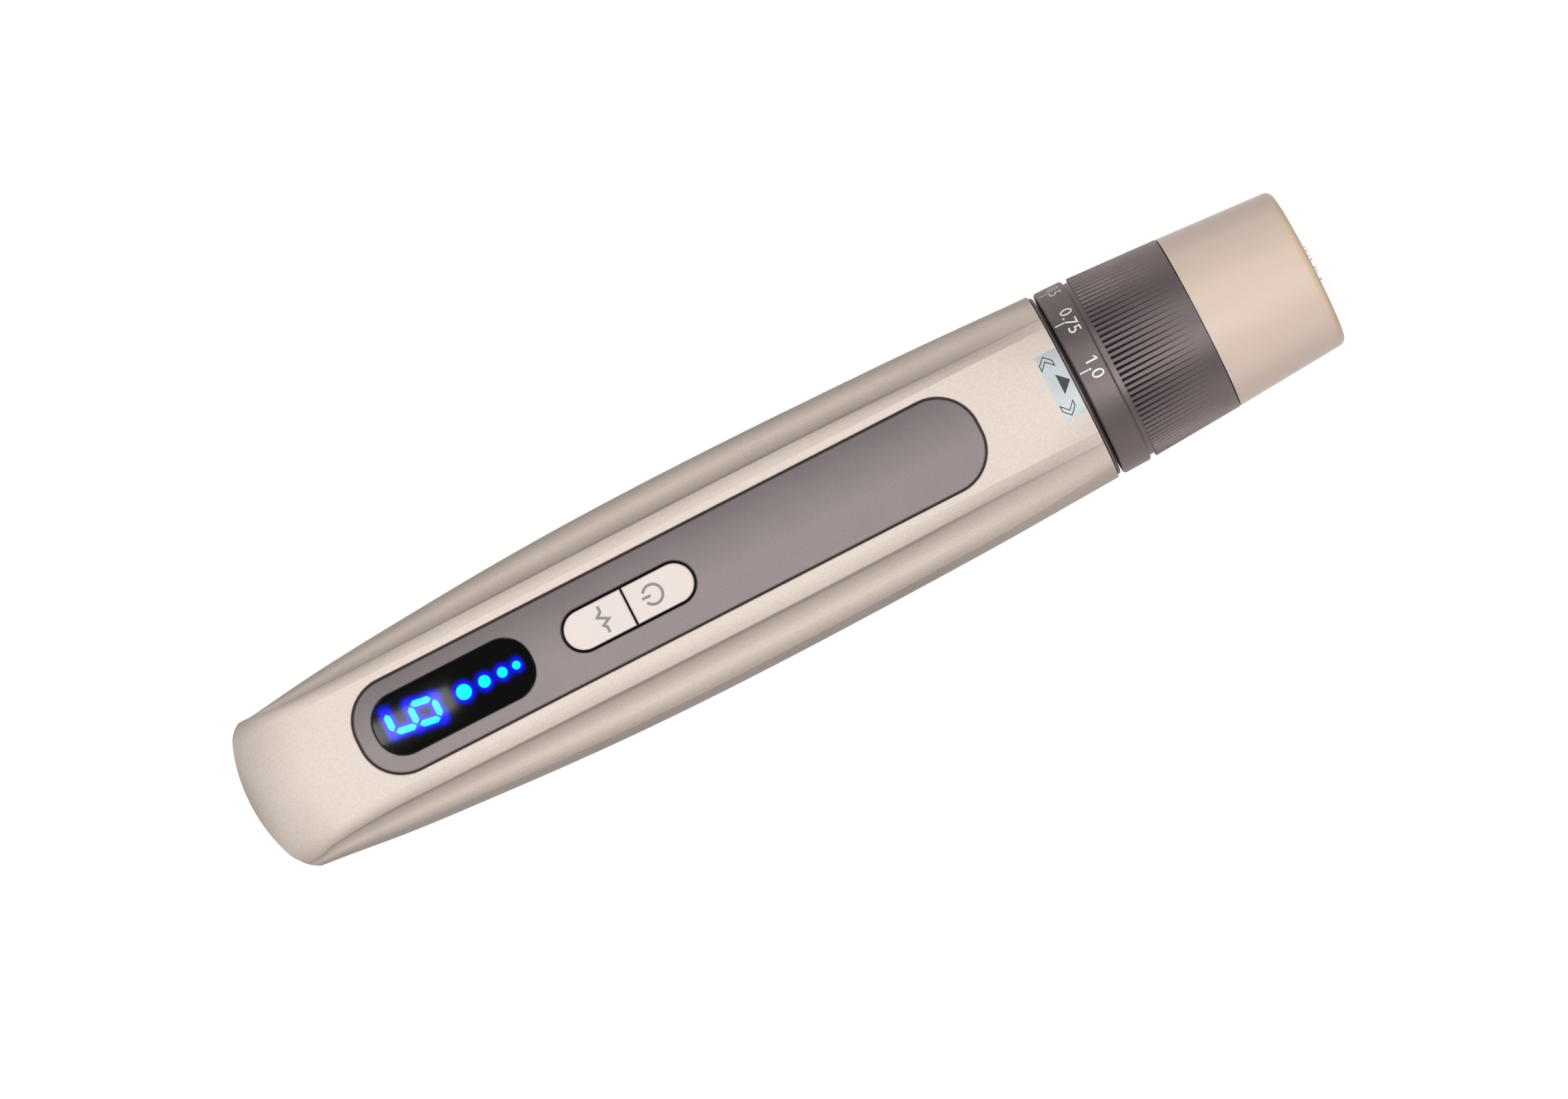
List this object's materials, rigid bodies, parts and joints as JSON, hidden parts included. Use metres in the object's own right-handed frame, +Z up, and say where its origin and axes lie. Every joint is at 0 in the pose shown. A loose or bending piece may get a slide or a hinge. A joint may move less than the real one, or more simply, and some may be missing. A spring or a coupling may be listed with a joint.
{
  "type": "microneedling pen",
  "caption": "Handheld cordless microneedling pen with an inlaid control panel, a turning depth dial with a ribbed grip and a pull-off needle cartridge on a cam-driven rod.",
  "frame": {"origin": "middle of the flat strip along the belly that the pen rests on", "axes": "+X along the pen towards the needles, +Z up, out of the control panel"},
  "size_m": [0.1742, 0.0326, 0.0302],
  "materials": {
    "shell": "satin pearl champagne",
    "panel": "satin taupe",
    "lens": "gloss smoked",
    "module": "matt",
    "led": "lit cyan",
    "button": "satin cream",
    "soft": "matt",
    "switch": "matt",
    "board": "satin green",
    "steel": "bright",
    "cell": "sleeved",
    "carrier": "matt",
    "acetal": "satin",
    "brass": "turned",
    "ring": "satin anodised taupe",
    "cartridge": "satin translucent beige",
    "contact": "polished"
  },
  "bodies": {
    "housing": {"upper_shell": "shell", "lower_shell": "shell", "nose_trim_ring": "ring", "control_panel": "panel", "panel_gasket": "soft", "display_lens": "lens", "display_module": "module", "indicator_leds": "led", "button_keypad": "soft", "tact_switches": "switch", "main_board": "board", "board_screws": "steel", "battery_cell": "cell", "battery_cradle": "carrier", "charging_board": "board", "charging_socket": "steel", "motor_can": "steel", "motor_end_cap": "carrier", "motor_mount": "carrier", "motor_screws": "steel", "nose_barrel": "carrier", "rod_bush": "brass", "rod_seal": "soft", "rod_spring": "steel", "friction_ring": "soft", "dial_retaining_ring": "steel"},
    "dial": {"depth_dial": "ring", "grip_ring": "ring"},
    "carriage": {"carriage": "carrier", "guide_pins": "steel", "cartridge_o_ring": "soft"},
    "cartridge": {"cartridge_shell": "cartridge", "cartridge_guide": "acetal", "cartridge_face": "cartridge", "electrodes": "contact", "hub_spring": "steel"},
    "drive_rod": {"drive_rod": "acetal"},
    "needle_hub": {"needle_hub": "acetal", "needles": "steel"},
    "rotor": {"motor_shaft": "steel", "drive_cam": "acetal", "cam_set_screw": "steel"},
    "power_button": {"power_button": "button"},
    "mode_button": {"mode_button": "button"}
  },
  "joints": [
    {"name": "dial_turn", "type": "hinge", "parent": "housing", "child": "dial", "pos_m": [0.0595, 0, 0.0154], "axis": [1, 0, 0], "range_deg": [0, 130]},
    {"name": "carriage_slide", "type": "slide", "parent": "housing", "child": "carriage", "axis": [1, 0, 0], "range_m": [0, 0.001]},
    {"name": "cartridge_pull", "type": "slide", "parent": "carriage", "child": "cartridge", "axis": [1, 0, 0], "range_m": [0, 0.035]},
    {"name": "needle_drive", "type": "slide", "parent": "housing", "child": "drive_rod", "axis": [1, 0, 0], "range_m": [-0.002, 0], "deforming": ["rod_spring", "hub_spring"]},
    {"name": "hub_release", "type": "slide", "parent": "drive_rod", "child": "needle_hub", "axis": [1, 0, 0], "range_m": [0, 0.035]},
    {"name": "motor_spin", "type": "hinge", "parent": "housing", "child": "rotor", "pos_m": [0.0375, 0, 0.0154], "axis": [1, 0, 0], "continuous": true},
    {"name": "power_press", "type": "slide", "parent": "housing", "child": "power_button", "axis": [0, 0, -1], "range_m": [0, 0.0004], "stiffness_N_per_m": 600},
    {"name": "mode_press", "type": "slide", "parent": "housing", "child": "mode_button", "axis": [0, 0, -1], "range_m": [0, 0.0004], "stiffness_N_per_m": 600}
  ],
  "couplings": [
    {"joint": "dial_turn", "follows": "carriage_slide", "rad_per_m": 2268.9},
    {"joint": "hub_release", "follows": "cartridge_pull", "ratio": 1}
  ]
}
